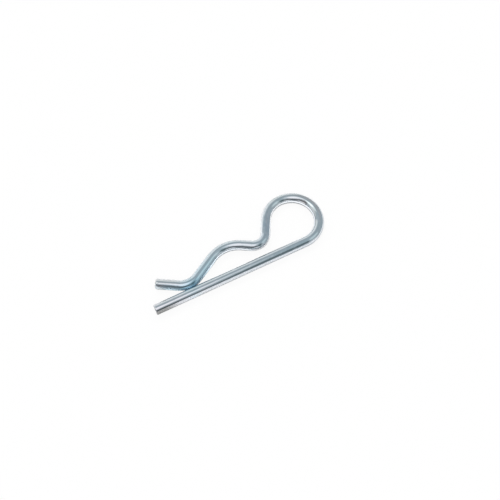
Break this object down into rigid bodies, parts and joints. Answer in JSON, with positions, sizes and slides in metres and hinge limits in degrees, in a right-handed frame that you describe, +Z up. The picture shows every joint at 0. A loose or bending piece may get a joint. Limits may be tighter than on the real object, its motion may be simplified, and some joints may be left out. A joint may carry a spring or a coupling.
{
  "type": "hitch r clip pin",
  "caption": "R clip bent from round wire: a straight leg, a spring loop and a curved leg with neck, hump, pinch and kicked-out end, bright zinc plated.",
  "frame": {"origin": "where the axis of the held shaft crosses the axis of the straight leg, at mid thickness of the wire", "axes": "+X along the straight leg towards the loop, +Y from the straight leg to the curved leg, +Z up, square to the plane of the clip"},
  "size_m": [0.0746, 0.0247, 0.004],
  "materials": {
    "zinc_wire": "bright zinc plate over drawn spring wire"
  },
  "bodies": {
    "root": {"r_clip": "zinc_wire"}
  },
  "joints": []
}
